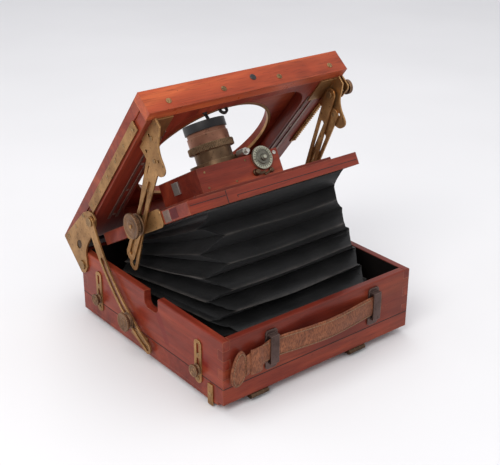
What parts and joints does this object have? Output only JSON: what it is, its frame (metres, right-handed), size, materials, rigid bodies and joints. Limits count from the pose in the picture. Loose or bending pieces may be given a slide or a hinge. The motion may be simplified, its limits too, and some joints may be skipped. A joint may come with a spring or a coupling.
{
  "type": "folding field camera",
  "caption": "Wooden folding field camera lying on its back with the bed partly open, bellows drawn up to a tilted front standard with lens and shutter.",
  "frame": {"origin": "centre of the back's rest face", "axes": "+Z away from the back towards the lens side, -Y towards the carrying strap, +X to the right seen from the strap side"},
  "size_m": [0.2496, 0.2763, 0.2594],
  "materials": {
    "wood": "french polished",
    "brass": "aged lacquer",
    "leather": "worn grain",
    "cloth": "matt folded",
    "glass": "clear",
    "ground_glass": "ground",
    "bronze": "dark oxidised",
    "steel": "dull",
    "black": "black enamel",
    "lacquer": "pink lacquer"
  },
  "bodies": {
    "body": {"body_wall_left": "wood", "body_wall_right": "wood", "body_wall_strap_side": "wood", "body_wall_hinge_side": "wood", "bellows_frame": "wood", "strap_clips": "steel", "carrying_strap": "leather", "body_studs": "brass", "hex_plates": "brass", "hex_plate_screws": "brass", "bellows_rear": "cloth"},
    "swing_back": {"swing_back_frame": "wood", "swing_plates": "brass", "corner_plates": "brass", "swing_plate_screws": "brass", "reversing_back": "wood", "screen_hinge_leaves": "bronze"},
    "focus_screen": {"screen_frame": "wood", "ground_glass": "ground_glass", "screen_hinge_straps": "bronze"},
    "swing_knob_front_left": {"swing_knob_front_left": "brass"},
    "swing_knob_front_right": {"swing_knob_front_right": "brass"},
    "swing_knob_rear_left": {"swing_knob_rear_left": "brass"},
    "swing_knob_rear_right": {"swing_knob_rear_right": "brass"},
    "stay_knob_left": {"stay_knob_left": "brass"},
    "stay_knob_right": {"stay_knob_right": "brass"},
    "baseboard": {"bed_board": "wood", "turntable_ring": "brass", "bed_guide_strips": "brass", "bed_ears": "brass", "bed_pins": "brass", "focus_bracket": "brass"},
    "stay_left": {"stay_left": "brass"},
    "stay_right": {"stay_right": "brass"},
    "focus_pinion": {"focus_knob": "brass"},
    "sliding_frame": {"rack_frame": "wood", "front_rail": "wood", "rail_screws": "brass", "focus_rack": "brass", "arm_brackets": "brass", "arm_pins": "brass", "rail_fittings": "black", "bellows_middle": "cloth"},
    "lower_arms": {"arms_lower": "brass"},
    "upper_arms": {"arms_upper": "brass"},
    "front_standard": {"front_panel": "wood", "panel_side_plates": "brass", "lens_board": "wood", "shutter_box": "wood", "shutter_fittings": "brass", "lens_flange": "brass", "lens_barrel": "lacquer", "lens_hood": "black", "lens_elements": "glass", "bellows_front": "cloth"},
    "clamp_knob_left": {"clamp_knob_left": "brass"},
    "clamp_knob_right": {"clamp_knob_right": "brass"},
    "shutter_dial": {"shutter_dial": "brass"},
    "winding_knob": {"winding_knob": "brass"},
    "iris_ring": {"iris_ring": "black"}
  },
  "joints": [
    {"name": "back_swing", "type": "slide", "parent": "body", "child": "swing_back", "axis": [0, 0, -1], "range_m": [0, 0.009]},
    {"name": "screen_open", "type": "hinge", "parent": "swing_back", "child": "focus_screen", "pos_m": [0, -0.116, 0.0054], "axis": [-1, 0, 0], "range_deg": [0, 95]},
    {"name": "bed_fold", "type": "hinge", "parent": "body", "child": "baseboard", "pos_m": [0, 0.1115, 0.0555], "axis": [-1, 0, 0], "range_deg": [0, 39.1], "deforming": ["bellows_rear"]},
    {"name": "stay_left_turn", "type": "hinge", "parent": "baseboard", "child": "stay_left", "pos_m": [-0.116, 0.08702, 0.11098], "axis": [1, 0, 0], "range_deg": [0, 32]},
    {"name": "stay_right_turn", "type": "hinge", "parent": "baseboard", "child": "stay_right", "pos_m": [0.116, 0.08702, 0.11098], "axis": [1, 0, 0], "range_deg": [0, 32]},
    {"name": "rack_out", "type": "slide", "parent": "baseboard", "child": "sliding_frame", "axis": [0, -0.6307, 0.776], "range_m": [0, 0.03], "deforming": ["bellows_middle"]},
    {"name": "focus_turn", "type": "hinge", "parent": "baseboard", "child": "focus_pinion", "pos_m": [0, -0.01227, 0.22446], "axis": [1, 0, 0], "range_deg": [0, 343.9]},
    {"name": "lower_arms_swing", "type": "hinge", "parent": "sliding_frame", "child": "lower_arms", "pos_m": [0, -0.00926, 0.21917], "axis": [-1, 0, 0], "range_deg": [0, 43.5]},
    {"name": "upper_arms_swing", "type": "hinge", "parent": "sliding_frame", "child": "upper_arms", "pos_m": [0, -0.0127, 0.19962], "axis": [-1, 0, 0], "range_deg": [0, 54.4]},
    {"name": "front_tilt", "type": "hinge", "parent": "lower_arms", "child": "front_standard", "pos_m": [0, 0.01981, 0.12888], "axis": [1, 0, 0], "range_deg": [0, 112.2], "deforming": ["bellows_front"]},
    {"name": "stay_knob_left_turn", "type": "hinge", "parent": "body", "child": "stay_knob_left", "pos_m": [-0.1173, 0.02361, 0.03211], "axis": [1, 0, 0], "range_deg": [-720, 720]},
    {"name": "clamp_knob_left_turn", "type": "hinge", "parent": "front_standard", "child": "clamp_knob_left", "pos_m": [-0.106, 0.01981, 0.12888], "axis": [1, 0, 0], "range_deg": [-720, 720]},
    {"name": "swing_knob_front_left_turn", "type": "hinge", "parent": "body", "child": "swing_knob_front_left", "pos_m": [-0.114, -0.0815, 0.0288], "axis": [1, 0, 0], "range_deg": [-720, 720]},
    {"name": "swing_knob_rear_left_turn", "type": "hinge", "parent": "body", "child": "swing_knob_rear_left", "pos_m": [-0.114, 0.0837, 0.0288], "axis": [1, 0, 0], "range_deg": [-720, 720]},
    {"name": "stay_knob_right_turn", "type": "hinge", "parent": "body", "child": "stay_knob_right", "pos_m": [0.1173, 0.02361, 0.03211], "axis": [1, 0, 0], "range_deg": [-720, 720]},
    {"name": "clamp_knob_right_turn", "type": "hinge", "parent": "front_standard", "child": "clamp_knob_right", "pos_m": [0.106, 0.01981, 0.12888], "axis": [1, 0, 0], "range_deg": [-720, 720]},
    {"name": "swing_knob_front_right_turn", "type": "hinge", "parent": "body", "child": "swing_knob_front_right", "pos_m": [0.114, -0.0815, 0.0288], "axis": [1, 0, 0], "range_deg": [-720, 720]},
    {"name": "swing_knob_rear_right_turn", "type": "hinge", "parent": "body", "child": "swing_knob_rear_right", "pos_m": [0.114, 0.0837, 0.0288], "axis": [1, 0, 0], "range_deg": [-720, 720]},
    {"name": "shutter_dial_turn", "type": "hinge", "parent": "front_standard", "child": "shutter_dial", "pos_m": [0.027, 0.00337, 0.16806], "axis": [0, -0.8704, 0.4924], "range_deg": [0, 300]},
    {"name": "winding_knob_turn", "type": "hinge", "parent": "front_standard", "child": "winding_knob", "pos_m": [0.05, 0.01721, 0.15678], "axis": [1, 0, 0], "range_deg": [0, 330]},
    {"name": "iris_turn", "type": "hinge", "parent": "front_standard", "child": "iris_ring", "pos_m": [0, 0.04865, 0.17174], "axis": [0, 0.4924, 0.8704], "range_deg": [0, 90]}
  ],
  "couplings": [
    {"joint": "stay_left_turn", "follows": "bed_fold", "ratio": 0.799},
    {"joint": "stay_right_turn", "follows": "bed_fold", "ratio": 0.799},
    {"joint": "focus_turn", "follows": "rack_out", "rad_per_m": 200},
    {"joint": "upper_arms_swing", "follows": "lower_arms_swing", "ratio": 1.246},
    {"joint": "front_tilt", "follows": "lower_arms_swing", "ratio": 2.577}
  ]
}
